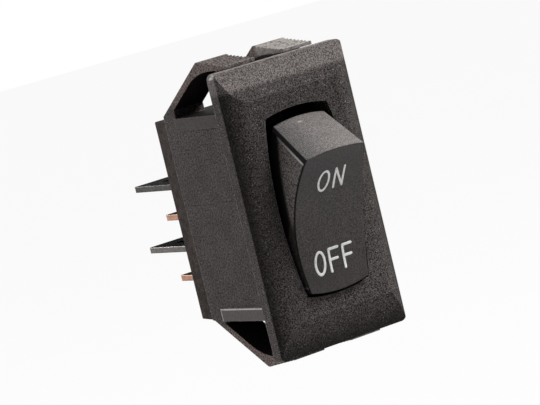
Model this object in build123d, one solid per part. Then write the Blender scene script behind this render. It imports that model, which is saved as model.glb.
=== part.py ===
from build123d import *
from math import cos, hypot, radians, sin
import os

# Snap-in two-pole rocker switch, millimetres.
# X across the switch, Y from the rocker towards the terminals, Z along the switch with ON at the top.
# The origin is the middle of the bezel's back face, which seats on the panel.
# It is modelled switched off: the OFF end is pressed in and the ON end stands out.

# Bezel
BEZEL_LENGTH = 38.1
BEZEL_WIDTH = 20.5
BEZEL_RIM = 1.7                # square edge next to the panel
BEZEL_THICKNESS = 3.1
BEZEL_CORNER = 0.8
END_BEVEL = 4.4                # flat bevels at the two ends
SIDE_BEVEL = 3.2               # rounded bevels along the two sides

# Rocker opening, a rectangle with all four sides bowed outwards
OPENING_HALF_WIDTH = 5.0       # at the corners
OPENING_SIDE_BOW = 1.25
OPENING_HALF_LENGTH = 11.8     # at the corners
OPENING_END_BOW = 0.6

# Body behind the panel
BODY_HALF_WIDTH = 7.0
BODY_TOP = 13.5
BODY_BOTTOM = -14.2
BODY_DEPTH = 17.35
BODY_EDGE = 0.35
SIDE_WALL = 1.05
END_WALL = 1.2
GUIDE_HEIGHT = 1.75            # raised guides along the long edges of both sides
GUIDE_PROUD = 0.35
GUIDE_LENGTH = 14.3
GUIDE_INSET = 0.05             # below the body's own edges
JOIN = 0.3                     # depth to which a rib, arm or pin runs into its wall

# Spring wings that hold the switch in the panel, two fingers at each end
FINGER_WIDTH = 4.75
WING_ROOT_BACK = 17.25
WING_ROOT_FRONT = 14.4
WING_ROOT_RISE = {1: 0.345, -1: -0.355}   # back of the arm over the body's end wall, top and bottom
WING_ROOT_DEPTH = 0.65
WING_CREST_DEPTH = 6.6         # behind the panel face
WING_CREST_REACH = 20.5        # from the middle of the switch
WING_CREST_RADIUS = 0.9
WING_ARM = 0.9
WING_BEND_RADIUS = 10.5        # underside, where the arm runs out into the head
WING_TIP_DEPTH = 0.1
WING_TIP_THICKNESS = 0.45
WING_RAMP_FALL = 0.95          # from the crest to the tip
WING_TEETH = 7
TEETH_START = 0.75             # ahead of the crest
TEETH_END = 0.35               # behind the tip
TOOTH_DEPTH = 0.2
TOOTH_FALL = 0.12              # length of a tooth's steep front
HEEL_FRONT = 2.05              # rib under each finger's head, behind the thickest panel edge
HEEL_LENGTH = 1.2
HEEL_DROP = 0.4                # below the head's underside
HEEL_INSET = 0.6               # from the finger's two sides

# Ledges inside that stop the rocker
STOP_HALF_WIDTH = 3.0
STOP_DEPTH = 4.75
STOP_THICKNESS = 1.5
STOP_INNER = 10.2

# Base plate that closes the body
BASE_THICKNESS = 2.75
BASE_INSET = 0.1
BASE_DRAFT = 3.5               # degrees
BASE_SPIGOT = 1.4              # ring that locates the plate in the body
RING_WALL = 1.0
BARRIER_THICKNESS = 0.8
BARRIER_FRONT = 6.7

# Rocker, drawn in its middle position around its pivot
PIVOT_DEPTH = 1.5
HALF_TRAVEL = 18.75            # degrees to each side
TIP_REACH = 8.54               # pivot to the end edges, outwards
TIP_HALF_LENGTH = 9.2
TIP_HALF_WIDTH = 4.7
ROCKER_SIDE_BOW = 0.9
ROCKER_END_BOW = 0.6
FACE_HOLLOW = 1.75             # depth of the finger hollow
END_DRAFT = 16.7               # degrees
SKIRT_REACH = 1.0              # the end walls stop this far outside the pivot
CAP_WALL = 1.2
FACE_GROOVE = 0.25             # cheek edge to cap face
END_GROOVE = 0.5               # cheek edge to the cap's ends
CHEEK_PROUD = 0.05
HUB_HALF_WIDTH = 4.9
HUB_HALF_HEIGHT = 3.2
HUB_REACH = 3.4                # behind the pivot
HUB_EDGE = 1.0
CARRIER_WALL = 1.3
PIN_RADIUS = 1.2               # pins on the body walls that carry the rocker
PIN_CLEARANCE = 0.45           # pin end to plunger
PIN_RELIEF = 0.45              # room for the pins beside the hub
RUNNING_FIT = 0.05

# Contact gear, one set for each pole
POLE_OFFSET = 2.5
PLUNGER_RADIUS = 1.1
PLUNGER_CENTRE = 5.8           # pivot to the centre of the round tip
PLUNGER_SHOULDER = 1.2
PLUNGER_STEM_RADIUS = 0.5
STEM_LENGTH = 1.8
PLUNGER_STROKE = 0.3
PLUNGER_FIT = 0.1
BORE_DEPTH = 3.1               # outside the pivot
SPRING_WIRE = 0.3
WIRE_SIDES = 5
SPRING_RADIUS = 0.8
SPRING_TURNS = 3.25
SPRING_SLACK = 0.05            # left at the bore's end at full stroke
CONTACT_GAP = 0.1              # plunger tip to blade
BLADE_THICKNESS = 0.4
BLADE_WIDTH = 2.8
BLADE_TILT = 7.0               # degrees to each side
TROUGH_RADIUS = 3.8
TROUGH_HALF_ANGLE = 41.0       # degrees
BLADE_BEND = 0.9
LOWER_ARM = 6.2
UPPER_ARM = 2.2
KNIFE_RADIUS = 0.4
KNIFE_FIT = 0.05
CONTACT_FROM_TIP = 1.6         # along the lower arm
CONTACT_RADIUS = 1.05
CONTACT_THICKNESS = 0.6
CONTACT_CHAMFER = 0.2
CONTACT_SHANK = 0.5
TAIL_RADIUS = 0.75
CONTACT_TAIL = 0.25
CONTACT_CLEARANCE = 0.05       # contacts when switched on

# Terminals, 6.35 x 0.8 tabs in two staggered columns
TAB_WIDTH = 6.35
TAB_THICKNESS = 0.8
TAB_END = 31.9
TAB_COLUMN = 1.9
TAB_HOLE_RADIUS = 0.9
TAB_HOLE_FROM_END = 4.1
TAB_HEIGHTS = {"a_common": 3.95, "a_load": -4.6, "b_common": -1.0, "b_load": -9.55}
LEG_WIDTH = 3.9
LEG_BEND = 0.6
STEP_LENGTH = 3.2              # where the common legs step over to their tabs
STEP_TO_BASE = 1.75
KNIFE_WIDTH = 2.6
KNIFE_LENGTH = 0.9
HORN_WIDTH = 0.4               # horns that keep the blade on its fulcrum
HORN_FRONT = 7.9
SHELF_BEND = 0.6
SHELF_OVERHANG = 1.7           # load shelf beyond its contact
TAB_CORNER = 0.3

BASE_FRONT = BODY_DEPTH
BASE_BACK = BODY_DEPTH + BASE_THICKNESS
CAVITY_HALF_WIDTH = BODY_HALF_WIDTH - SIDE_WALL
CAVITY_TOP = BODY_TOP - END_WALL
CAVITY_BOTTOM = BODY_BOTTOM + END_WALL
PIN_END = POLE_OFFSET + PLUNGER_RADIUS + PIN_CLEARANCE
BLADE_FRONT = PIVOT_DEPTH + PLUNGER_CENTRE + PLUNGER_RADIUS + CONTACT_GAP
FULCRUM = BLADE_FRONT + BLADE_THICKNESS + KNIFE_FIT + KNIFE_RADIUS
POLES = {"a": -1, "b": 1}
OVERRUN = 1.0                  # cutters and crossed outlines run this far past what they trim


def block(x0, x1, y0, y1, z0, z1):
    """Box between two corners."""
    middle = ((x0 + x1) / 2, (y0 + y1) / 2, (z0 + z1) / 2)
    return Pos(*middle) * Box(x1 - x0, y1 - y0, z1 - z0)


def rod(radius, start, end, y, z):
    """Round bar along X."""
    return Pos((start + end) / 2, y, z) * Rot(0, 90, 0) * Cylinder(radius, abs(end - start))


def slab(outline, x0, x1):
    """Outline in depth and height, carried across X."""
    return extrude(Plane.YZ.offset(x0) * make_face(outline), x1 - x0)


def bowed_rectangle(half_width, side_bow, half_length, end_bow):
    """Rectangle in width and height whose four sides are shallow arcs."""
    corners = [(-half_width, -half_length), (half_width, -half_length),
               (half_width, half_length), (-half_width, half_length)]
    crowns = [(0, -half_length - end_bow), (half_width + side_bow, 0),
              (0, half_length + end_bow), (-half_width - side_bow, 0)]
    arcs = [ThreePointArc(corners[i], crowns[i], corners[(i + 1) % 4]) for i in range(4)]
    return make_face(arcs)


def through(face, y0, y1):
    """Face in width and height, carried along the depth."""
    plane = Plane(origin=(0, y0, 0), x_dir=(1, 0, 0), z_dir=(0, -1, 0))
    return extrude(plane * face, -(y1 - y0))


def bezel():
    """Frame plate: square rim, flat end bevels, rounded side bevels."""
    half_length, half_width = BEZEL_LENGTH / 2, BEZEL_WIDTH / 2
    plate = through(RectangleRounded(BEZEL_WIDTH, BEZEL_LENGTH, BEZEL_CORNER), -BEZEL_THICKNESS, 0)
    crown = Polyline([(0, -half_length), (-BEZEL_RIM, -half_length),
                      (-BEZEL_THICKNESS, END_BEVEL - half_length),
                      (-BEZEL_THICKNESS, half_length - END_BEVEL),
                      (-BEZEL_RIM, half_length), (0, half_length)], close=True)
    rise = BEZEL_THICKNESS - BEZEL_RIM
    inner = half_width - SIDE_BEVEL
    bevel_radius = (SIDE_BEVEL ** 2 + rise ** 2) / (2 * rise)
    bevels = [RadiusArc((side * half_width, -BEZEL_RIM), (side * inner, -BEZEL_THICKNESS),
                        side * bevel_radius) for side in (-1, 1)]
    rim = Polyline([(-half_width, -BEZEL_RIM), (-half_width, 0), (half_width, 0), (half_width, -BEZEL_RIM)])
    face = Line((-inner, -BEZEL_THICKNESS), (inner, -BEZEL_THICKNESS))
    section = make_face([rim, bevels[0], face, bevels[1]])
    across = extrude(section, half_length + OVERRUN, both=True)
    return plate & slab(crown, -half_width - OVERRUN, half_width + OVERRUN) & across


def finger(x0, x1, end):
    """One spring finger: slanting arm, rounded crest, a toothed ramp down to the panel and a heel rib under it."""
    root = (BODY_TOP if end > 0 else -BODY_BOTTOM) + WING_ROOT_RISE[end]
    steepness = (WING_CREST_REACH - root) / (WING_ROOT_BACK - WING_CREST_DEPTH)
    underside = WING_CREST_REACH - WING_ARM * hypot(1, steepness)
    sunk = root - WING_ROOT_DEPTH
    outer = WING_CREST_REACH - WING_RAMP_FALL
    inner = outer - WING_TIP_THICKNESS
    crest = (WING_CREST_DEPTH, WING_CREST_REACH)
    throat = (WING_CREST_DEPTH + (underside - inner) / steepness, inner)
    back = [(WING_ROOT_BACK, sunk), (WING_ROOT_BACK, root)]
    front = [(WING_ROOT_FRONT, underside - (WING_ROOT_FRONT - WING_CREST_DEPTH) * steepness),
             (WING_ROOT_FRONT, sunk)]
    tip = [(WING_TIP_DEPTH, outer), (WING_TIP_DEPTH, inner)]
    profile = make_face(Polyline(back + [crest] + tip + [throat] + front, close=True))
    profile = fillet(corner(profile, crest), WING_CREST_RADIUS)
    profile = fillet(corner(profile, throat), WING_BEND_RADIUS)
    arm = extrude(Plane.YZ.offset(x0) * (profile - teeth()), x1 - x0)
    arm += block(x0 + HEEL_INSET, x1 - HEEL_INSET, HEEL_FRONT, HEEL_FRONT + HEEL_LENGTH,
                 inner - HEEL_DROP, inner + JOIN)
    return arm if end > 0 else mirror(arm, Plane.XY)


def corner(profile, point):
    """The corner of a flat profile at the given point."""
    return profile.vertices().sort_by_distance((point[0], point[1], 0))[0]


def teeth():
    """Saw teeth cut into a finger's ramp, their steep sides towards the panel."""
    fall = WING_RAMP_FALL / (WING_CREST_DEPTH - WING_TIP_DEPTH)
    start = WING_CREST_DEPTH - TEETH_START
    pitch = (start - WING_TIP_DEPTH - TEETH_END) / WING_TEETH
    cuts = []
    for tooth in range(WING_TEETH):
        crown = start - pitch * tooth
        level = WING_CREST_REACH - fall * (WING_CREST_DEPTH - crown)
        drop = fall * pitch
        notch = Polyline([(crown, level), (crown - TOOTH_FALL, level - TOOTH_DEPTH), (crown - pitch, level - drop),
                          (crown - pitch, level + OVERRUN), (crown, level + OVERRUN)], close=True)
        cuts.append(make_face(notch))
    return Sketch() + cuts


def housing():
    """Bezel, body and spring wings, one moulding, with the pivot pins and end stops inside."""
    depth = BODY_DEPTH
    body = block(-BODY_HALF_WIDTH, BODY_HALF_WIDTH, 0, depth, BODY_BOTTOM, BODY_TOP)
    body = fillet(body.edges().filter_by(Axis.Y), BODY_EDGE)
    shape = bezel() + body
    for side in (-1, 1):
        inside, outside = sorted((side * (BODY_HALF_WIDTH - JOIN), side * (BODY_HALF_WIDTH + GUIDE_PROUD)))
        shape += block(inside, outside, 0, GUIDE_LENGTH, BODY_TOP - GUIDE_HEIGHT, BODY_TOP - GUIDE_INSET)
        shape += block(inside, outside, 0, GUIDE_LENGTH, BODY_BOTTOM + GUIDE_INSET, BODY_BOTTOM + GUIDE_HEIGHT)
        near, far = sorted((side * BODY_HALF_WIDTH, side * (BODY_HALF_WIDTH - FINGER_WIDTH)))
        shape += finger(near, far, 1) + finger(near, far, -1)
    shape -= block(-CAVITY_HALF_WIDTH, CAVITY_HALF_WIDTH, 0, depth, CAVITY_BOTTOM, CAVITY_TOP)
    opening = bowed_rectangle(OPENING_HALF_WIDTH, OPENING_SIDE_BOW, OPENING_HALF_LENGTH, OPENING_END_BOW)
    shape -= through(opening, -BEZEL_THICKNESS, 0)
    for side in (-1, 1):
        shape += rod(PIN_RADIUS, side * (CAVITY_HALF_WIDTH + JOIN), side * PIN_END, PIVOT_DEPTH, 0)
    return shape + end_stops()


def end_stops():
    """Ledges on the end walls that the rocker's end walls come down to."""
    lower = block(-STOP_HALF_WIDTH, STOP_HALF_WIDTH, STOP_DEPTH, STOP_DEPTH + STOP_THICKNESS,
                  CAVITY_BOTTOM, -STOP_INNER)
    upper = block(-STOP_HALF_WIDTH, STOP_HALF_WIDTH, STOP_DEPTH, STOP_DEPTH + STOP_THICKNESS,
                  STOP_INNER, CAVITY_TOP)
    return lower + upper


def base_plate():
    """Drafted plate with a locating ring, the barrier between the poles and the terminal slots."""
    width = 2 * (BODY_HALF_WIDTH - BASE_INSET)
    height = BODY_TOP - BODY_BOTTOM - 2 * BASE_INSET
    middle = (BODY_TOP + BODY_BOTTOM) / 2
    plane = Plane(origin=(0, BASE_FRONT, middle), x_dir=(1, 0, 0), z_dir=(0, 1, 0))
    plate = extrude(plane * RectangleRounded(width, height, BODY_EDGE), BASE_THICKNESS, taper=BASE_DRAFT)
    ring = block(-CAVITY_HALF_WIDTH, CAVITY_HALF_WIDTH, BASE_FRONT - BASE_SPIGOT, BASE_FRONT,
                 CAVITY_BOTTOM, CAVITY_TOP)
    ring -= block(-CAVITY_HALF_WIDTH + RING_WALL, CAVITY_HALF_WIDTH - RING_WALL,
                  BASE_FRONT - BASE_SPIGOT, BASE_FRONT, CAVITY_BOTTOM + RING_WALL, CAVITY_TOP - RING_WALL)
    half = BARRIER_THICKNESS / 2
    barrier = block(-half, half, BARRIER_FRONT, BASE_FRONT, CAVITY_BOTTOM + RING_WALL, CAVITY_TOP - RING_WALL)
    shape = plate + ring + barrier
    for name in TAB_HEIGHTS:
        shape -= tab_blank(name, BASE_BACK)
    return shape


def rocker_block(face_inset, end_inset, side_inset):
    """Rocker outline: hollow face, bowed drafted ends, bowed sides, each moved in by its inset."""
    face_radius = (TIP_HALF_LENGTH ** 2 + FACE_HOLLOW ** 2) / (2 * FACE_HOLLOW)
    end_radius = (TIP_HALF_WIDTH ** 2 + ROCKER_END_BOW ** 2) / (2 * ROCKER_END_BOW)
    side_radius = (TIP_HALF_LENGTH ** 2 + ROCKER_SIDE_BOW ** 2) / (2 * ROCKER_SIDE_BOW)
    reach = 2 * TIP_HALF_LENGTH
    half_width = TIP_HALF_WIDTH + ROCKER_SIDE_BOW
    shape = block(-half_width, half_width, -TIP_REACH - OVERRUN, -SKIRT_REACH, -reach, reach)
    face_centre = TIP_REACH - FACE_HOLLOW + face_radius
    shape -= rod(face_radius + face_inset, -reach, reach, -face_centre, 0)
    for sign in (-1, 1):
        axis = side_radius - half_width + side_inset
        shape &= Pos(-sign * axis, 0, 0) * Rot(90, 0, 0) * Cylinder(side_radius, 4 * reach)
        slope = radians(END_DRAFT)
        crown = (-TIP_REACH, sign * (TIP_HALF_LENGTH + ROCKER_END_BOW))
        centre_y = crown[0] + end_radius * sin(slope)
        centre_z = crown[1] - sign * end_radius * cos(slope)
        lean = Rot(-90 + sign * END_DRAFT, 0, 0)
        shape &= Pos(0, centre_y, centre_z) * lean * Cylinder(end_radius - end_inset, 4 * reach)
    return shape


def rocker_cap():
    """Smooth skin over the face and both ends."""
    return rocker_block(0, 0, CHEEK_PROUD) - rocker_block(CAP_WALL, CAP_WALL, -OVERRUN)


def rocker_carrier():
    """Textured core under the cap: cheeks, hollow arms, pivot hub and plunger bores."""
    hub = block(-HUB_HALF_WIDTH, HUB_HALF_WIDTH, -SKIRT_REACH - OVERRUN, HUB_REACH, -HUB_HALF_HEIGHT, HUB_HALF_HEIGHT)
    hub = fillet(hub.edges().filter_by(Axis.X).group_by(Axis.Y)[-1], HUB_EDGE)
    pockets = rocker_block(CAP_WALL + CARRIER_WALL, CAP_WALL + CARRIER_WALL, CARRIER_WALL)
    pockets -= block(-BODY_HALF_WIDTH, BODY_HALF_WIDTH, -TIP_REACH, 0, -HUB_HALF_HEIGHT, HUB_HALF_HEIGHT)
    shape = rocker_block(FACE_GROOVE, END_GROOVE, 0) - rocker_cap() - pockets + hub
    for side in (-1, 1):
        bore = Pos(side * POLE_OFFSET, (HUB_REACH - BORE_DEPTH) / 2, 0) * Rot(90, 0, 0)
        shape -= bore * Cylinder(PLUNGER_RADIUS + PLUNGER_FIT, HUB_REACH + BORE_DEPTH)
        shape -= rod(PIN_RADIUS + RUNNING_FIT, side * (PIN_END - RUNNING_FIT), side * BODY_HALF_WIDTH, 0, 0)
        shape -= rod(PIN_RADIUS + PIN_RELIEF, side * HUB_HALF_WIDTH, side * BODY_HALF_WIDTH, 0, 0)
    return shape


def plunger():
    """Round-ended pin that slides in the hub, with a stem inside its spring."""
    length = PLUNGER_CENTRE - PLUNGER_SHOULDER
    body = Pos(0, PLUNGER_SHOULDER + length / 2, 0) * Rot(90, 0, 0) * Cylinder(PLUNGER_RADIUS, length)
    tip = Pos(0, PLUNGER_CENTRE, 0) * Sphere(PLUNGER_RADIUS)
    stem = Pos(0, PLUNGER_SHOULDER - STEM_LENGTH / 2, 0) * Rot(90, 0, 0)
    return body + tip + stem * Cylinder(PLUNGER_STEM_RADIUS, STEM_LENGTH)


def spring():
    """Compression spring between the plunger's shoulder and the end of its bore."""
    height = PLUNGER_SHOULDER + BORE_DEPTH - PLUNGER_STROKE - SPRING_SLACK - SPRING_WIRE
    coil = Helix(height / SPRING_TURNS, height, SPRING_RADIUS)
    wire = sweep(Plane(coil @ 0, z_dir=coil % 0) * RegularPolygon(SPRING_WIRE / 2, WIRE_SIDES), coil)
    return Pos(0, PLUNGER_SHOULDER - SPRING_WIRE / 2, 0) * Rot(90, 0, 0) * wire


def strip(path, width):
    """Sheet metal strip that follows a line of depth and height, centred on X."""
    route = Plane.YZ * path
    return sweep(Plane(route @ 0, x_dir=(1, 0, 0), z_dir=route % 0) * Rectangle(width, TAB_THICKNESS), route)


def blade_route():
    """Middle line of a moving blade: a trough under the plunger and an arm to each side."""
    radius = TROUGH_RADIUS + BLADE_THICKNESS / 2
    centre = BLADE_FRONT - TROUGH_RADIUS
    trough = CenterArc((centre, 0), radius, -TROUGH_HALF_ANGLE, 2 * TROUGH_HALF_ANGLE)
    turn = TROUGH_HALF_ANGLE - BLADE_TILT
    low_bend = JernArc(trough @ 0, trough % 0 * -1, BLADE_BEND, turn)
    low_arm = Line(low_bend @ 1, low_bend @ 1 + low_bend % 1 * LOWER_ARM)
    high_bend = JernArc(trough @ 1, trough % 1, BLADE_BEND, -turn)
    high_arm = Line(high_bend @ 1, high_bend @ 1 + high_bend % 1 * UPPER_ARM)
    return Wire([low_arm, low_bend, trough, high_bend, high_arm])


def contact_rivet(grip):
    """Contact rivet along Z: flat head below zero, shank through the grip, closed tail above it."""
    head = Pos(0, 0, -CONTACT_THICKNESS / 2) * Cylinder(CONTACT_RADIUS, CONTACT_THICKNESS)
    head = chamfer(head.edges().group_by(Axis.Z)[0], CONTACT_CHAMFER)
    shank = Pos(0, 0, grip / 2) * Cylinder(CONTACT_SHANK, grip)
    tail = Pos(0, 0, grip + CONTACT_TAIL / 2) * Cylinder(TAIL_RADIUS, CONTACT_TAIL)
    return head + shank + tail


def contact_seat():
    """Plane on the back of the lower arm where the moving contact sits, facing the rocker."""
    route = Plane.YZ * blade_route()
    along = route % 1
    front = along.cross(Vector(1, 0, 0))
    seat = route @ 1 - along * CONTACT_FROM_TIP - front * (BLADE_THICKNESS / 2)
    return Plane(seat, x_dir=(1, 0, 0), z_dir=front)


def moving_contact():
    """Rivet near the lower end of a moving blade, its head towards the terminals."""
    return contact_seat() * contact_rivet(BLADE_THICKNESS)


def moving_blade():
    """Moving blade in the middle position, with the hole for its contact."""
    route = Plane.YZ * blade_route()
    section = Plane(route @ 0, x_dir=(1, 0, 0), z_dir=route % 0) * Rectangle(BLADE_WIDTH, BLADE_THICKNESS)
    return sweep(section, route) - moving_contact()


def closed_contact():
    """Middle of the moving contact's face when the switch is on."""
    face = contact_seat() * Pos(0, 0, -CONTACT_THICKNESS)
    return (tilted(BLADE_TILT) * face).position


def tilted(angle):
    """Turn about a blade's fulcrum, degrees."""
    return Pos(0, FULCRUM, 0) * Rot(angle, 0, 0) * Pos(0, -FULCRUM, 0)


def fixed_contact():
    """Rivet on a load terminal's shelf, its head towards the rocker."""
    face = closed_contact()
    seat = Vector(0, face.Y + CONTACT_CLEARANCE + CONTACT_THICKNESS, face.Z)
    return Plane(seat, x_dir=(1, 0, 0), z_dir=(0, 1, 0)) * contact_rivet(TAB_THICKNESS)


def tab_blank(name, end):
    """Full width of a tab from the inside of the base plate to the given depth."""
    middle = POLES[name[0]] * TAB_COLUMN
    height = TAB_HEIGHTS[name]
    return block(middle - TAB_WIDTH / 2, middle + TAB_WIDTH / 2, BASE_FRONT, end,
                 height - TAB_THICKNESS / 2, height + TAB_THICKNESS / 2)


def tab(name):
    """Push-on tab with rounded corners and its locking hole."""
    blank = tab_blank(name, TAB_END)
    blank = fillet(blank.edges().filter_by(Axis.Z).group_by(Axis.Y)[-1], TAB_CORNER)
    hole = Pos(POLES[name[0]] * TAB_COLUMN, TAB_END - TAB_HOLE_FROM_END, TAB_HEIGHTS[name])
    return blank - hole * Cylinder(TAB_HOLE_RADIUS, 2 * TAB_THICKNESS)


def common_terminal(name):
    """Tab, stepped leg, rounded fulcrum edge and the two horns beside the blade."""
    height = TAB_HEIGHTS[name]
    start = FULCRUM + KNIFE_LENGTH
    landing = BASE_FRONT - STEP_TO_BASE
    leg = strip(FilletPolyline((start, 0), (landing - STEP_LENGTH, 0), (landing, height), (BASE_FRONT, height),
                               radius=LEG_BEND), LEG_WIDTH)
    half, thick = KNIFE_WIDTH / 2, TAB_THICKNESS / 2
    fulcrum = block(-half, half, FULCRUM, start, -thick, thick) + rod(KNIFE_RADIUS, -half, half, FULCRUM, 0)
    for side in (-1, 1):
        inner, outer = sorted((side * (LEG_WIDTH / 2 - HORN_WIDTH), side * LEG_WIDTH / 2))
        fulcrum += block(inner, outer, HORN_FRONT, start, -thick, thick)
    return Pos(POLES[name[0]] * POLE_OFFSET, 0, 0) * (leg + fulcrum) + tab(name)


def load_terminal(name):
    """Tab, leg and the shelf that carries the fixed contact."""
    height = TAB_HEIGHTS[name]
    contact = closed_contact()
    shelf = contact.Y + CONTACT_CLEARANCE + CONTACT_THICKNESS + TAB_THICKNESS / 2
    away = 1 if contact.Z > height else -1
    leg = strip(FilletPolyline((shelf, contact.Z + away * SHELF_OVERHANG), (shelf, height),
                               (BASE_FRONT, height), radius=SHELF_BEND), LEG_WIDTH)
    side = Pos(POLES[name[0]] * POLE_OFFSET, 0, 0)
    return side * (leg - fixed_contact()) + tab(name)


def rocker_place():
    """From the rocker's own middle position to its place with the OFF end pressed in."""
    return Pos(0, PIVOT_DEPTH, 0) * Rot(HALF_TRAVEL, 0, 0)


def parts():
    """Every piece of the switch, by name."""
    shapes = {"housing": housing(), "base_plate": base_plate(),
              "rocker_cap": rocker_place() * rocker_cap(),
              "rocker_carrier": rocker_place() * rocker_carrier()}
    for pole, side in POLES.items():
        across = Pos(side * POLE_OFFSET, 0, 0)
        off = across * tilted(-BLADE_TILT)
        shapes["plunger_" + pole] = rocker_place() * across * plunger()
        shapes["spring_" + pole] = rocker_place() * across * spring()
        shapes["blade_" + pole] = off * moving_blade()
        shapes["moving_contact_" + pole] = off * moving_contact()
        shapes["fixed_contact_" + pole] = across * fixed_contact()
        shapes["terminal_" + pole + "_common"] = common_terminal(pole + "_common")
        shapes["terminal_" + pole + "_load"] = load_terminal(pole + "_load")
    return shapes


os.makedirs("parts", exist_ok=True)
for node, shape in parts().items():
    export_step(shape, "parts/" + node + ".step")
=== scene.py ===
"""Looks of the snap-in rocker switch: finishes, printed words, studio and camera.

Metres, in the part's own frame: X across, -Y towards the user, +Z towards the ON end.
The origin is the middle of the bezel's back face.
"""
import bpy
from math import ceil, cos, hypot, pi, radians, sin
from mathutils import Matrix, Vector


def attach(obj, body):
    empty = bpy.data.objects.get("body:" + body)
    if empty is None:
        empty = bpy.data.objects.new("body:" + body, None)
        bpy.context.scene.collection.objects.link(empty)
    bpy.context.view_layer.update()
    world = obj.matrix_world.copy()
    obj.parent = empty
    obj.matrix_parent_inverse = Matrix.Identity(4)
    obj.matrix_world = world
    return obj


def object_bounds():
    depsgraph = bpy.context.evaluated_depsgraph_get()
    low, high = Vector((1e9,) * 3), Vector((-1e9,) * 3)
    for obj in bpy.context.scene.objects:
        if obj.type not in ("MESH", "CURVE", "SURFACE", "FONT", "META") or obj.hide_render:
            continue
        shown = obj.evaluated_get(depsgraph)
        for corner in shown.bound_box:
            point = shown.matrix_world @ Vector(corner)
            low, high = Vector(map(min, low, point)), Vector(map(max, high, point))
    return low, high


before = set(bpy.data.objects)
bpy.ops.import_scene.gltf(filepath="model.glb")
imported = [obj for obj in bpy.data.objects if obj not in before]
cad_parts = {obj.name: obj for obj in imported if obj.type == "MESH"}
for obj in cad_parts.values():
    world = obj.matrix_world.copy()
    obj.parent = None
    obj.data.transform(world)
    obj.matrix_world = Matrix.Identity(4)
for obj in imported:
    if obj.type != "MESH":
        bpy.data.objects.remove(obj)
CAD_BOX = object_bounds()
MM = 0.001

# Rocker, as the part has it
PIVOT_DEPTH = 1.5 * MM          # Y of the pins
HALF_TRAVEL = radians(18.75)    # from upright to switched on or off
TIP_REACH = 8.54 * MM           # pins to the plane of the face's two tips
TIP_HALF_LENGTH = 9.2 * MM
TIP_HALF_WIDTH = 4.7 * MM
FACE_HOLLOW = 1.75 * MM         # depth of the scoop between the tips
SIDE_BOW = 0.9 * MM             # bulge of each side between the tips
END_SLOPE = radians(18.45)
END_REACH = 10.78 * MM          # pins to the plane of either end face
# Centre of a small painted highlight on the ON end face
GATE_GLINT = (-0.65 * MM, -4.32 * MM, 10.37 * MM)

# Bezel, as the part has it
BEZEL_FRONT = -3.1 * MM         # Y of the flat front
RIM_FRONT = -1.7 * MM           # Y where the bevels end
BEVEL_FOOT = 15.9 * MM          # Z where the upper bevel starts
# Centre of a painted highlight on the rim's upper left corner
CORNER_HIGHLIGHT = (-10.2 * MM, -0.9 * MM, 18.7 * MM)

# Body, spring fingers and guides, as the part has them
BODY_HALF_WIDTH = 7.0 * MM
BODY_TOP = 13.5 * MM            # Z of the end wall under the fingers
FINGER_ROOT = 14.6 * MM         # Z past which only the fingers reach
RAMP_HEIGHT = 19.2 * MM         # Z past which only their toothed ramps reach
RAMP_BACK = 6.6 * MM            # Y where the teeth end
GUIDE_TOP = -12.45 * MM         # Z of the lower guides' upper edges
GUIDE_BACK = 14.3 * MM          # Y of their back ends

# Tabs, as the part has them
TAB_WIDTH = 6.35 * MM
TAB_COLUMN = 1.9 * MM           # middle of the switch to the middle of each column

# Width of a pit or peak in each moulding's grain
BEZEL_GRAIN = 0.18 * MM
BODY_GRAIN = 0.25 * MM
CARRIER_GRAIN = 0.20 * MM
CAP_GRAIN = 0.18 * MM
BASE_GRAIN = 0.22 * MM

EDGE_SAMPLES = 6                # rays that feel for an edge

# Printed words, in millimetres on the unrolled rocker face: across and up from its middle
INK_HEIGHT = 0.03
INK_SUNK = 0.06
STROKE_STEP = 0.12
OVAL_STEPS = 48
F_BAR_HEIGHT = 0.52             # share of the letter's height
ON_HEIGHT, ON_FOOT, ON_STROKE = 2.75, 3.8, 0.34
OFF_HEIGHT, OFF_FOOT, OFF_STROKE = 2.94, -7.45, 0.38

# Studio and camera
FLOOR_DROP = 45 * MM
FLOOR_HALF_SIDE = 1.2
FLOOR_GREY = (0.45, 0.45, 0.45, 1)
FLOOR_WHITE = 0.94              # share of white that the camera sees over the floor
SURROUND_LEVEL = 0.05
LAMP_DISTANCE = 0.45
LAMP_SIDE = 0.24
CAMERA_DISTANCE = 0.44871
CAMERA_AZIMUTH = radians(-34.07)
CAMERA_ELEVATION = radians(6.64)
CAMERA_ROLL = radians(-13.54)
CAMERA_LENS = 231.105           # mm on the sensor's width
CAMERA_SENSOR = 36.0
AIM_ASIDE = -0.009736           # shares of the distance by which the switch stands off the middle
AIM_ABOVE = -0.000796


# ---------------------------------------------------------------- node trees

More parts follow.
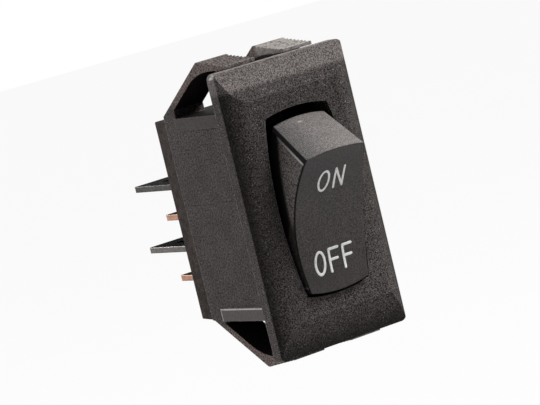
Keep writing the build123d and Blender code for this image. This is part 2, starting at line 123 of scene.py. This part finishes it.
class Wire:
    """An output in a finish's node tree, so that shader sums are written as Python."""

    def __init__(self, tree, socket=None):
        self.tree = tree
        self.socket = socket

    def node(self, kind, sockets, out=0, **settings):
        """A node of this kind with these settings, and values or wires for its sockets."""
        made = self.tree.nodes.new("ShaderNode" + kind)
        for name, value in settings.items():
            setattr(made, name, value)
        for name, value in sockets.items():
            if isinstance(value, Wire):
                self.tree.links.new(value.socket, made.inputs[name])
            else:
                made.inputs[name].default_value = value
        return Wire(self.tree, made.outputs[out])

    def maths(self, operation, first, second=0.0):
        return self.node("Math", {0: first, 1: second}, operation=operation)

    def vectors(self, operation, first, second, out=0):
        return self.node("VectorMath", {0: first, 1: second}, out=out, operation=operation)

    def __add__(self, other):
        return self.maths("ADD", self, other)

    def __sub__(self, other):
        return self.maths("SUBTRACT", self, other)

    def __rsub__(self, other):
        return self.maths("SUBTRACT", other, self)

    def __mul__(self, other):
        return self.maths("MULTIPLY", self, other)

    def __abs__(self):
        return self.maths("ABSOLUTE", self)

    def root(self):
        """Square root."""
        return self.maths("SQRT", self)

    def either(self, other):
        """The larger of the two."""
        return self.maths("MAXIMUM", self, other)

    def step(self, low, high):
        """0 below low, 1 above high, smooth between them."""
        return self.node("MapRange", {"Value": self, "From Min": low, "From Max": high},
                         interpolation_type="SMOOTHSTEP")

    def blend(self, none, full):
        """Colour that goes from none to full as this mask goes from 0 to 1."""
        return self.node("Mix", {0: self, 6: none, 7: full}, out=2, data_type="RGBA")

    def axis(self, letter):
        """One coordinate of this place or direction."""
        return self.node("SeparateXYZ", {"Vector": self}, out=letter)

    def noise(self, size, detail=2.0, rough=0.5, stretch=(1.0, 1.0, 1.0)):
        """Cloudy pattern whose spots are about this wide, in metres."""
        place = self.node("Mapping", {"Vector": self, "Scale": stretch})
        return self.node("TexNoise", {"Vector": place, "Scale": 1 / size, "Detail": detail,
                                      "Roughness": rough})

    def away(self, centre, sizes):
        """Distance from a centre, counted in these sizes along X, Y and Z."""
        offset = self.vectors("SUBTRACT", self, centre)
        scaled = self.vectors("MULTIPLY", offset, tuple(1 / size for size in sizes))
        return self.node("VectorMath", {0: scaled}, out="Value", operation="LENGTH")

    def rounded(self, rounding):
        """Surface direction with the edges rounded to this radius."""
        return self.node("Bevel", {"Radius": rounding}, samples=EDGE_SAMPLES)

    def flat(self):
        """Surface direction of the bare face."""
        return self.node("NewGeometry", {}, out="True Normal")

    def worn_edges(self, rounding):
        """1 on edges rounded by wear to this radius, 0 on the faces between them."""
        met = self.vectors("DOT_PRODUCT", self.rounded(rounding), self.flat(), out="Value")
        return (1 - met).step(0.02, 0.14)

    def relief(self, height, depth, rounding):
        """Surface direction: edges rounded to this radius, raised by height, 0 to 1, times depth."""
        return self.node("Bump", {"Height": height, "Distance": depth, "Strength": 1.0,
                                  "Normal": self.rounded(rounding)})


def finish(name, **constants):
    """New material: its shader, with constants set on its sockets, and the object's own coordinates."""
    material = bpy.data.materials.new(name)
    material.use_nodes = True
    tree = material.node_tree
    shader = tree.nodes["Principled BSDF"]
    for socket, value in constants.items():
        shader.inputs[socket.replace("_", " ")].default_value = value
    place = Wire(tree).node("TexCoord", {}, out="Object")
    return material, shader, place


def feed(shader, **wires):
    """Leads wires into the shader's sockets."""
    for socket, wire in wires.items():
        wire.tree.links.new(wire.socket, shader.inputs[socket.replace("_", " ")])


# ---------------------------------------------------------------- housing and base plate

def black(level, warmth=0.13):
    """Black plastic of this lightness, a little redder than blue with warmth."""
    return (level * (1 + warmth), level, level * (1 - 0.3 * warmth), 1)


def grains(place, size):
    """Pits and peaks of a spark-eroded surface, 0 to 1."""
    return place.noise(size, detail=2.0, rough=0.7).step(0.36, 0.64)


def moulded_housing():
    """Black nylon: coarse spark grain on the bezel, finer behind the panel; pale edges, partly wear and
    partly painted highlight; painted highlights on a rim corner, the toothed ramps and the lower
    guides.
    """
    material, shader, place = finish("bezel_and_body_grain", Specular_IOR_Level=0.03)
    behind = place.axis("Y").step(0.1 * MM, 0.4 * MM)
    coarse = grains(place, BEZEL_GRAIN)
    fine = grains(place, BODY_GRAIN)
    clouds = place.noise(2.6 * MM, detail=3.0).step(0.3, 0.7)
    nicks = place.noise(0.5 * MM, detail=3.0, rough=0.7).step(0.42, 0.62)
    # Pale edges: partly wear, partly a painted highlight where the rounded edges catch the light
    worn = place.worn_edges(0.16 * MM) * (nicks * 0.6 + 0.15)
    corner_highlight = 1 - place.away(CORNER_HIGHLIGHT, (0.5 * MM, 0.9 * MM, 0.5 * MM)).step(0.4, 1.0)
    colour = behind.blend(bezel_skin(place, coarse, clouds), body_skin(place, fine, clouds))
    colour = worn.blend(colour, black(0.28))
    # Painted highlight on the rim's upper left corner, broken up by the nicks pattern
    colour = (corner_highlight * nicks).blend(colour, black(0.75, 0.0))
    # Painted sheen on the toothed ramps
    colour = ramp_sheen(place).blend(colour, (0.40, 0.38, 0.355, 1))
    # Painted highlight on the lower guides' edges
    colour = guide_highlight(place, behind).blend(colour, (0.50, 0.48, 0.47, 1))
    height = coarse * (1 - behind) + fine * behind * 0.6
    feed(shader, Base_Color=colour, Roughness=coarse * 0.2 + 0.6,
         Normal=place.relief(height, 0.012 * MM, 0.12 * MM))
    return material


def bezel_skin(place, coarse, clouds):
    """Colour of the bezel: front and rim painted lighter as lit and the bevels between them darker as
    painted shade; the front's tone patchy and paler towards the bottom; the upper bevel painted lighter
    as lit from above; bright specks of painted glint.
    """
    depth, rise = place.axis("Y"), place.axis("Z")
    front = 1 - depth.step(BEZEL_FRONT + 0.1 * MM, BEZEL_FRONT + 1.6 * MM)
    # Painted light and shade: front and rim painted lighter, the bevels between them darker
    painted_lit = front.either(depth.step(RIM_FRONT, RIM_FRONT + 0.15 * MM))
    lower = 1 - rise.step(-14 * MM, 4 * MM)
    lit_front_tone = (clouds * 0.5 + lower * 0.5).blend(black(0.078), black(0.118))
    # Painted light on the upper bevel, which faces up towards the light
    painted_top_light = rise.step(BEVEL_FOOT, BEVEL_FOOT + 0.8 * MM) * 0.55
    pits = painted_top_light.blend(black(0.009), black(0.060))
    peaks = painted_top_light.blend(painted_lit.blend(black(0.024), lit_front_tone), black(0.30))
    # Bright specks standing in for specular glint, paler where painted lit
    painted_glints = place.noise(0.17 * MM, detail=1.0).step(0.66, 0.74)
    return painted_glints.blend(coarse.blend(pits, peaks), painted_lit.blend(black(0.08), black(0.26)))


def body_skin(place, fine, clouds):
    """Colour behind the bezel: finger arms paler, their sides painted lighter still as lit; their
    insides and the end walls under them painted near black as shade.
    """
    rise = place.axis("Z")
    high = abs(rise)
    facing = place.flat().axis("Z")
    # Sides of the finger arms painted lighter as lit, their tops and undersides darker
    lit_flank = 1 - abs(facing).step(0.1, 0.4)
    arm = high.step(FINGER_ROOT, FINGER_ROOT + 1.2 * MM)
    arm_peaks = lit_flank.blend(black(0.115, 0.2), black(0.17, 0.28))
    peaks = arm.blend(clouds.blend(black(0.080), black(0.100)), arm_peaks)
    grained = fine.blend(clouds.blend(black(0.018), black(0.024)), peaks)
    guide = abs(place.axis("X")).step(BODY_HALF_WIDTH + 0.04 * MM, BODY_HALF_WIDTH + 0.08 * MM)
    smooth = (guide * 0.7).blend(grained, black(0.062))
    # Painted shade: the fingers' insides and the end walls under them are painted near black
    shaded_insides = 1 - (facing * rise).step(-6 * MM, -1.5 * MM)
    from_wall = high.step(BODY_TOP - 1.0 * MM, BODY_TOP - 0.8 * MM)
    past_wall = high.step(BODY_TOP + 0.2 * MM, BODY_TOP + 0.4 * MM)
    shaded_deck = from_wall * (1 - past_wall) * abs(facing).step(0.6, 0.9) * 0.9
    painted_shade = (shaded_insides * high.step(BODY_TOP - 0.2 * MM, BODY_TOP)).either(shaded_deck)
    return painted_shade.blend(smooth, fine.blend(black(0.003, 0.3), black(0.012, 0.3)))


def ramp_sheen(place):
    """Painted sheen on the toothed ramps, in streaks: strong on the right one, faint on the left."""
    ramp = abs(place.axis("Z")).step(RAMP_HEIGHT - 0.15 * MM, RAMP_HEIGHT)
    ahead = 1 - place.axis("Y").step(RAMP_BACK - 0.8 * MM, RAMP_BACK)
    right = place.axis("X").step(-0.5 * MM, 0.5 * MM)
    streaks = place.noise(0.5 * MM, detail=4.0, rough=0.7, stretch=(1.0, 0.35, 1.0)).step(0.35, 0.6)
    return ramp * ahead * (right * 0.62 + 0.02) * (streaks * 0.7 + 0.3)


def guide_highlight(place, behind):
    """Painted highlight along the lower guides' upper edges and back ends; their outer faces a little
    paler.
    """
    outside = abs(place.axis("X")).step(BODY_HALF_WIDTH + 0.05 * MM, BODY_HALF_WIDTH + 0.1 * MM)
    rise = place.axis("Z")
    lower = 1 - rise.step(GUIDE_TOP + 0.1 * MM, GUIDE_TOP + 0.2 * MM)
    edge = lower * rise.step(GUIDE_TOP - 0.24 * MM, GUIDE_TOP - 0.14 * MM)
    end = lower * place.axis("Y").step(GUIDE_BACK - 0.22 * MM, GUIDE_BACK - 0.12 * MM) * 0.6
    # Patchy strength of the painted highlight
    worn = place.noise(1.2 * MM, detail=3.0).step(0.2, 0.6) * 0.5 + 0.5
    return outside * behind * (edge.either(end) * worn).either(lower * 0.08)


def base_moulding():
    """Base plate: browner black, plain matt moulding."""
    material, shader, place = finish("base_moulding", Specular_IOR_Level=0.03)
    mottle = place.noise(0.9 * MM, detail=4.0, rough=0.65).step(0.38, 0.62)
    fine = grains(place, BASE_GRAIN)
    pits = mottle.blend(black(0.004, 0.4), black(0.008, 0.4))
    peaks = mottle.blend(black(0.014, 0.5), black(0.046, 0.42))
    worn = place.worn_edges(0.1 * MM) * mottle
    colour = worn.blend(fine.blend(pits, peaks), black(0.12, 0.4))
    feed(shader, Base_Color=colour, Roughness=fine * 0.2 + 0.5,
         Normal=place.relief(fine, 0.008 * MM, 0.1 * MM))
    return material


# ---------------------------------------------------------------- rocker

def in_rocker(place):
    """The same place counted from the rocker's pivot, in its own upright position."""
    upright = Matrix.Rotation(-HALF_TRAVEL, 3, "X")
    back = -(upright @ Vector((0, PIVOT_DEPTH, 0)))
    return place.node("Mapping", {"Vector": place, "Rotation": (-HALF_TRAVEL, 0, 0), "Location": back})


def side_reach(own):
    """How far a place in the rocker stands outside the bowed sides of its cap, in metres."""
    radius = (TIP_HALF_LENGTH ** 2 + SIDE_BOW ** 2) / (2 * SIDE_BOW)
    across = abs(own.axis("X")) + (radius - TIP_HALF_WIDTH - SIDE_BOW)
    along = own.axis("Z")
    return (across * across + along * along).root() - radius


def end_reach(own):
    """How far a place in the rocker lies out towards the plane of its nearer end face, in metres."""
    return abs(own.axis("Z")) * cos(END_SLOPE) - own.axis("Y") * sin(END_SLOPE)


def end_facing(place):
    """1 on the rocker's end faces, which look out along its length, 0 on its hollow face and sides."""
    normal = place.node("TexCoord", {}, out="Normal")
    own = normal.node("Mapping", {"Vector": normal, "Rotation": (-HALF_TRAVEL, 0, 0)},
                      vector_type="VECTOR")
    return abs(own.axis("Z")).step(0.55, 0.75)


def raised_depth(own):
    """Depth of a place in the rocker, on the Y axis, when its own end stands out."""
    return own.axis("Y") * cos(HALF_TRAVEL) - abs(own.axis("Z")) * sin(HALF_TRAVEL) + PIVOT_DEPTH


def carrier_grain():
    """Rocker's core: coarse grain, painted lit where an end stands out of the opening and painted near
    black as shadow deeper in, darker on the OFF half; a painted highlight along the cheek's edge beside
    the cap.
    """
    material, shader, place = finish("carrier_grain", Specular_IOR_Level=0.06)
    own = in_rocker(place)
    coarse = grains(place, CARRIER_GRAIN)
    depth = raised_depth(own)
    # Painted shadow: near black deeper in the opening, lit where an end stands out; the OFF half stays
    # darker
    on_end = own.axis("Z").step(-1 * MM, 1 * MM)
    painted_lit = (1 - depth.step(-4.5 * MM, -3.7 * MM)) * (on_end * 0.75 + 0.25)
    pits = painted_lit.blend(black(0.003), black(0.030))
    peaks = painted_lit.blend(black(0.006), black(0.21))
    # Painted highlight along the cheek's edge beside the cap, fading deeper in
    near = end_reach(own)
    inner_edge = near.step(END_REACH - 0.34 * MM, END_REACH - 0.24 * MM)
    outer_edge = 1 - near.step(END_REACH - 0.06 * MM, END_REACH)
    fading = 1 - depth.step(-9.0 * MM, -4.5 * MM) * 0.6
    cheek_highlight = inner_edge * outer_edge * fading * painted_lit
    colour = cheek_highlight.blend(coarse.blend(pits, peaks), black(0.5, 0.04))
    feed(shader, Base_Color=colour, Roughness=coarse * 0.2 + 0.42,
         Normal=place.relief(coarse, 0.010 * MM, 0.2 * MM))
    return material


def satin_cap():
    """Rocker's skin: satin; painted shade in the groove beside the cheeks, a painted sheen on the end
    faces growing to the right, the hollow face painted lighter in its middle than at its ends, and a
    small painted highlight on the ON end face.
    """
    material, shader, place = finish("rocker_satin", Specular_IOR_Level=0.28)
    own = in_rocker(place)
    mottle = place.noise(1.8 * MM, detail=4.0).step(0.3, 0.75)
    fine = grains(place, CAP_GRAIN)
    end = end_facing(place)
    # Painted sheen on the end faces, growing towards the right
    right = place.axis("X").step(-6.0 * MM, 1.5 * MM)
    # Painted light: the hollow face is lighter in its middle and darker towards its ends
    middle = 1 - abs(own.axis("Z")).step(1.5 * MM, 8.5 * MM)
    pits = end.blend(black(0.012, 0.2), black(0.003, 0.2))
    face = (middle * 0.7 + mottle * 0.3).blend(black(0.034, 0.2), black(0.078, 0.2))
    peaks = end.blend(face, right.blend(black(0.026, 0.2), black(0.112, 0.2)))
    # Painted shade: the groove beside the cheeks is painted near black
    groove = side_reach(own).step(-0.12 * MM, -0.07 * MM)
    # Small painted highlight on the ON end face
    gate_glint = 1 - place.away(GATE_GLINT, (0.55 * MM, 0.24 * MM, 0.24 * MM)).step(0.3, 1.0)
    colour = groove.blend(fine.blend(pits, peaks), black(0.003))
    colour = (gate_glint * 0.7).blend(colour, black(0.30))
    feed(shader, Base_Color=colour, Roughness=mottle * 0.06 + 0.36 + groove * 0.6,
         Normal=place.relief(fine * (end + 0.55), 0.020 * MM, 0.3 * MM))
    return material


# ---------------------------------------------------------------- tabs, inner pieces and ink

def tab_metal(name, column, faces, specks, cut, edge_highlight):
    """Terminal strip: broad faces near black with pale specks, a painted dark reflection; bare sheared
    edges, with a painted highlight where they round over to the upward faces.

    The sheared edges lie half a tab's width from the middle of the column.
    """
    material, shader, place = finish(name, Specular_IOR_Level=0.02)
    half = TAB_WIDTH / 2
    sheared = abs(place.axis("X") - column).step(half - 0.06 * MM, half - 0.02 * MM)
    bare = place.noise(0.28 * MM, detail=4.0, rough=0.7, stretch=(1.0, 0.6, 1.0)).step(0.54, 0.68)
    worn = place.noise(0.5 * MM, detail=4.0, rough=0.6, stretch=(1.0, 0.6, 1.0)).step(0.3, 0.75)
    dull = worn * 0.35 + place.axis("Z").step(-2 * MM, 4 * MM) * 0.65
    dulled = tuple(0.2 * value for value in cut[:3]) + (1,)
    # Painted highlight where the sheared edges round over to the upward faces
    upper = place.rounded(0.14 * MM).axis("Z").step(0.15, 0.5)
    # Broad faces painted near black: a painted dark reflection
    colour = sheared.blend(bare.blend(faces, specks), dull.blend(cut, dulled))
    colour = (upper * sheared * (1 - dull * 0.85)).blend(colour, edge_highlight)
    rolling = place.noise(0.25 * MM, detail=4.0, stretch=(1.0, 0.06, 1.0))
    feed(shader, Base_Color=colour, Metallic=sheared * 0.5,
         Roughness=rolling * 0.2 + (1 - sheared) * 0.35 + 0.42,
         Normal=place.relief(rolling, 0.012 * MM, 0.15 * MM))
    return material


def rolled_metal(name, face, tint, rough, rolling):
    """Sheet or wire with rolling marks along it and a little tarnish."""
    material, shader, place = finish(name, Metallic=1.0)
    marks = place.noise(0.25 * MM, detail=4.0, stretch=(1.0, 0.06, 1.0))
    tarnish = place.noise(1.5 * MM, detail=4.0, rough=0.6).step(0.35, 0.75)
    feed(shader, Base_Color=tarnish.blend(face, tint), Roughness=marks * 0.18 + rough,
         Normal=place.relief(marks, rolling, 0.05 * MM))
    return material


def contact_silver():
    """Silver contact, slightly sulphided."""
    material, shader, place = finish("contact_silver", Metallic=1.0)
    film = place.noise(0.5 * MM, detail=4.0).step(0.4, 0.75)
    feed(shader, Base_Color=film.blend((0.86, 0.85, 0.82, 1), (0.62, 0.58, 0.50, 1)),
         Roughness=film * 0.2 + 0.22,
         Normal=place.relief(place.noise(0.12 * MM), 0.004 * MM, 0.05 * MM))
    return material


def natural_acetal():
    """Off-white plunger moulding."""
    material, shader, place = finish("natural_acetal", Specular_IOR_Level=0.5)
    mottle = place.noise(0.8 * MM, detail=3.0).step(0.3, 0.7)
    feed(shader, Base_Color=mottle.blend((0.72, 0.69, 0.60, 1), (0.78, 0.76, 0.69, 1)),
         Roughness=mottle * 0.08 + 0.34,
         Normal=place.relief(place.noise(0.15 * MM), 0.004 * MM, 0.05 * MM))
    return material


def white_ink():
    """Pad-printed white ink, a little thin in places."""
    material, shader, place = finish("white_ink", Specular_IOR_Level=0.3)
    thin = place.noise(0.3 * MM, detail=3.0).step(0.5, 0.8)
    feed(shader, Base_Color=thin.blend((0.90, 0.90, 0.89, 1), (0.58, 0.58, 0.58, 1)),
         Roughness=thin * 0.1 + 0.5)
    return material


def dress(nodes, material):
    """Gives every listed CAD node this one material."""
    for node in nodes:
        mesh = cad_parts[node].data
        mesh.materials.clear()
        mesh.materials.append(material)


# ---------------------------------------------------------------- printed words

def face_point(across, up, height):
    """Place above the hollow rocker face, unrolled millimetres to metres, OFF end pressed in."""
    radius = (TIP_HALF_LENGTH ** 2 + FACE_HOLLOW ** 2) / (2 * FACE_HOLLOW)
    turn = up * MM / radius
    reach = radius - height * MM
    centre = -(TIP_REACH - FACE_HOLLOW + radius)
    depth, rise = centre + reach * cos(turn), reach * sin(turn)
    return Vector((across * MM, PIVOT_DEPTH + depth * cos(HALF_TRAVEL) - rise * sin(HALF_TRAVEL),
                   depth * sin(HALF_TRAVEL) + rise * cos(HALF_TRAVEL)))


def letter_o(middle, foot, height, width, lean):
    """One closed oval stroke, its top leaning right by lean times its height."""
    waist = foot + height / 2
    loop = []
    for step in range(OVAL_STEPS + 1):
        turn = 2 * pi * step / OVAL_STEPS
        rise = height / 2 * sin(turn)
        loop.append((middle + width / 2 * cos(turn) + lean * rise, waist + rise))
    return [loop]


def letter_n(left, foot, height, width, lean):
    """Two stems and the slanting stroke between them, leaning as the O does."""
    right, top = left + width, foot + height
    head = lean * height
    return [[(left, foot), (left + head, top)],
            [(left + head, top), (right, foot)],
            [(right, foot), (left + head + width, top)]]


def letter_f(left, foot, height, width, bar):
    """Upright stem, top arm, and a middle arm this long."""
    top, waist = foot + height, foot + height * F_BAR_HEIGHT
    return [[(left, foot), (left, top)],
            [(left, top), (left + width, top)],
            [(left, waist), (left + bar, waist)]]


def ink_bead_tree(material):
    """Geometry nodes: a round bead along every stroke, with a ball at each of its ends."""
    tree = bpy.data.node_groups.new("ink_bead", "GeometryNodeTree")
    for name, kind, way in (("Strokes", "NodeSocketGeometry", "INPUT"),
                            ("Width", "NodeSocketFloat", "INPUT"),
                            ("Bead", "NodeSocketGeometry", "OUTPUT")):
        tree.interface.new_socket(name, in_out=way, socket_type=kind)

    def add(kind, links, **settings):
        made = tree.nodes.new(kind)
        for name, value in settings.items():
            setattr(made, name, value)
        for name, value in links.items():
            if isinstance(value, bpy.types.NodeSocket):
                tree.links.new(value, made.inputs[name])
            else:
                made.inputs[name].default_value = value
        return made

    source = add("NodeGroupInput", {})
    half = add("ShaderNodeMath", {0: source.outputs["Width"], 1: 0.5}, operation="MULTIPLY").outputs[0]
    curve = add("GeometryNodeMeshToCurve", {"Mesh": source.outputs["Strokes"]}).outputs[0]
    ring = add("GeometryNodeCurvePrimitiveCircle", {"Resolution": 12, "Radius": half}).outputs[0]
    tube = add("GeometryNodeCurveToMesh", {"Curve": curve, "Profile Curve": ring}).outputs[0]
    ends = add("GeometryNodeCurveEndpointSelection", {}).outputs[0]
    ball = add("GeometryNodeMeshUVSphere", {"Segments": 12, "Rings": 8, "Radius": half}).outputs["Mesh"]
    caps = add("GeometryNodeInstanceOnPoints",
               {"Points": curve, "Selection": ends, "Instance": ball}).outputs[0]
    both = add("GeometryNodeJoinGeometry", {})
    for part in (tube, caps):
        tree.links.new(part, both.inputs[0])
    solid = add("GeometryNodeRealizeInstances", {"Geometry": both.outputs[0]}).outputs[0]
    inked = add("GeometryNodeSetMaterial", {"Geometry": solid, "Material": material}).outputs[0]
    add("NodeGroupOutput", {"Bead": inked})
    return tree


def stroke_path(strokes):
    """Points and edges of the strokes, cut into short pieces that can follow the hollow face."""
    points, edges = [], []
    for stroke in strokes:
        for (u0, v0), (u1, v1) in zip(stroke, stroke[1:]):
            pieces = max(1, ceil(hypot(u1 - u0, v1 - v0) / STROKE_STEP))
            for i in range(pieces):
                points.append((u0 + (u1 - u0) * i / pieces, v0 + (v1 - v0) * i / pieces, 0))
                edges.append((len(points) - 1, len(points)))
        points.append((*stroke[-1], 0))
    return points, edges


def printed_word(name, strokes, width, material):
    """A word drawn flat as beads of ink, then flattened and laid on the hollow face."""
    mesh = bpy.data.meshes.new(name + "_path")
    points, edges = stroke_path(strokes)
    mesh.from_pydata(points, edges, [])
    draft = bpy.data.objects.new(name + "_draft", mesh)
    bpy.context.scene.collection.objects.link(draft)
    modifier = draft.modifiers.new("bead", "NODES")
    modifier.node_group = ink_bead_tree(material)
    modifier[modifier.node_group.interface.items_tree["Width"].identifier] = width
    evaluated = draft.evaluated_get(bpy.context.evaluated_depsgraph_get())
    solid = bpy.data.meshes.new_from_object(evaluated)
    bpy.data.objects.remove(draft)
    for vertex in solid.vertices:
        across, up, height = vertex.co
        lift = height / (width / 2)
        vertex.co = face_point(across, up, lift * (INK_HEIGHT if lift > 0 else INK_SUNK))
    solid.update()
    for polygon in solid.polygons:
        polygon.use_smooth = True
    word = bpy.data.objects.new(name, solid)
    bpy.context.scene.collection.objects.link(word)
    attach(word, "rocker")


# ---------------------------------------------------------------- studio

def direction(azimuth, elevation):
    """Towards this bearing, from the front and from the level."""
    return Vector((sin(azimuth) * cos(elevation), -cos(azimuth) * cos(elevation), sin(elevation)))


def turned_camera():
    """Camera on its long lens, rolled, aimed so that the switch stands a little off the middle."""
    back = direction(CAMERA_AZIMUTH, CAMERA_ELEVATION)
    level = Vector((0, 0, 1)).cross(back).normalized()
    plumb = back.cross(level)
    right = level * cos(CAMERA_ROLL) + plumb * sin(CAMERA_ROLL)
    up = plumb * cos(CAMERA_ROLL) - level * sin(CAMERA_ROLL)
    place = back * CAMERA_DISTANCE
    back = (back - right * AIM_ASIDE - up * AIM_ABOVE).normalized()
    right = (right - back * right.dot(back)).normalized()
    up = back.cross(right)
    data = bpy.data.cameras.new("camera")
    data.sensor_width = CAMERA_SENSOR
    data.lens = CAMERA_LENS
    data.clip_start = 0.05
    camera = bpy.data.objects.new("camera", data)
    bpy.context.scene.collection.objects.link(camera)
    camera.matrix_world = Matrix((
        (right.x, up.x, back.x, place.x), (right.y, up.y, back.y, place.y),
        (right.z, up.z, back.z, place.z), (0, 0, 0, 1)))
    bpy.context.scene.camera = camera


def soft_lamp(name, azimuth, elevation, power):
    """Square soft box that faces the switch from this bearing, in degrees."""
    place = direction(radians(azimuth), radians(elevation)) * LAMP_DISTANCE
    data = bpy.data.lights.new(name, "AREA")
    data.shape = "SQUARE"
    data.size = LAMP_SIDE
    data.energy = power
    lamp = bpy.data.objects.new(name, data)
    lamp.location = place
    lamp.rotation_mode = "QUATERNION"
    lamp.rotation_quaternion = (-place).to_track_quat("-Z", "Y")
    bpy.context.scene.collection.objects.link(lamp)


def seen_white(tree, plain, target, share):
    """Camera, mirror and glass rays see this share of white over the plain shader, others none."""
    paths = tree.nodes.new("ShaderNodeLightPath")
    camera, mirror, glass = (Wire(tree, paths.outputs[kind])
                             for kind in ("Is Camera Ray", "Is Glossy Ray", "Is Transmission Ray"))
    seen = camera.either(mirror).either(glass) * share
    white = tree.nodes.new("ShaderNodeEmission")
    mix = tree.nodes.new("ShaderNodeMixShader")
    tree.links.new(seen.socket, mix.inputs[0])
    tree.links.new(plain, mix.inputs[1])
    tree.links.new(white.outputs[0], mix.inputs[2])
    tree.links.new(mix.outputs[0], target)


def studio():
    """Pale floor, even surroundings and soft boxes."""
    low = CAD_BOX[0].z - FLOOR_DROP
    side = FLOOR_HALF_SIDE
    mesh = bpy.data.meshes.new("floor")
    mesh.from_pydata([(-side, -side, low), (side, -side, low), (side, side, low), (-side, side, low)],
                     [], [(0, 1, 2, 3)])
    floor = bpy.data.objects.new("floor", mesh)
    bpy.context.scene.collection.objects.link(floor)
    material, shader, _ = finish("pale_floor", Roughness=0.8)
    shader.inputs["Base Color"].default_value = FLOOR_GREY
    target = material.node_tree.nodes["Material Output"].inputs["Surface"]
    seen_white(material.node_tree, shader.outputs[0], target, FLOOR_WHITE)
    mesh.materials.append(material)

    world = bpy.data.worlds.new("studio")
    bpy.context.scene.world = world
    world.use_nodes = True
    tree = world.node_tree
    surround = tree.nodes["Background"]
    surround.inputs["Color"].default_value = (1, 1, 1, 1)
    surround.inputs["Strength"].default_value = SURROUND_LEVEL
    seen_white(tree, surround.outputs[0], tree.nodes["World Output"].inputs["Surface"], 1.0)

    soft_lamp("key_box", 60, 55, 4.0)
    soft_lamp("back_box", 100, 35, 0.27)
    soft_lamp("left_box", -120, 15, 0.62)
    soft_lamp("far_left_box", -160, 10, 1.28)


dress(["housing"], moulded_housing())
dress(["base_plate"], base_moulding())
dress(["rocker_cap"], satin_cap())
dress(["rocker_carrier"], carrier_grain())
# Broad faces near black as a painted dark reflection; the last colour is a painted highlight on the
# upper edges
dress(["terminal_a_common", "terminal_a_load"],
      tab_metal("tinned_tab", -TAB_COLUMN,
                faces=(0.003, 0.003, 0.003, 1), specks=(0.05, 0.048, 0.047, 1),
                cut=(0.10, 0.092, 0.087, 1), edge_highlight=(0.85, 0.80, 0.77, 1)))
dress(["terminal_b_common", "terminal_b_load"],
      tab_metal("copper_tab", TAB_COLUMN,
                faces=(0.004, 0.003, 0.003, 1), specks=(0.04, 0.03, 0.025, 1),
                cut=(0.36, 0.19, 0.135, 1), edge_highlight=(0.90, 0.66, 0.54, 1)))
dress(["blade_a", "blade_b"],
      rolled_metal("spring_bronze", (0.76, 0.56, 0.33, 1), (0.62, 0.43, 0.24, 1), 0.25, 0.012 * MM))
dress(["spring_a", "spring_b"],
      rolled_metal("spring_steel", (0.62, 0.62, 0.64, 1), (0.50, 0.50, 0.52, 1), 0.25, 0.006 * MM))
dress(["plunger_a", "plunger_b"], natural_acetal())
dress(["moving_contact_a", "moving_contact_b", "fixed_contact_a", "fixed_contact_b"], contact_silver())

ink = white_ink()
printed_word("word_on",
             letter_o(-1.13, ON_FOOT, ON_HEIGHT, 1.6, 0.13)
             + letter_n(0.52, ON_FOOT, ON_HEIGHT, 1.38, 0.09),
             ON_STROKE, ink)
printed_word("word_off",
             letter_o(-2.32, OFF_FOOT, OFF_HEIGHT, 1.49, 0.06)
             + letter_f(-0.73, OFF_FOOT, OFF_HEIGHT, 1.46, 1.26)
             + letter_f(1.52, OFF_FOOT, OFF_HEIGHT, 1.38, 1.25),
             OFF_STROKE, ink)
studio()
turned_camera()

scene = bpy.context.scene
scene.view_settings.view_transform = "Standard"
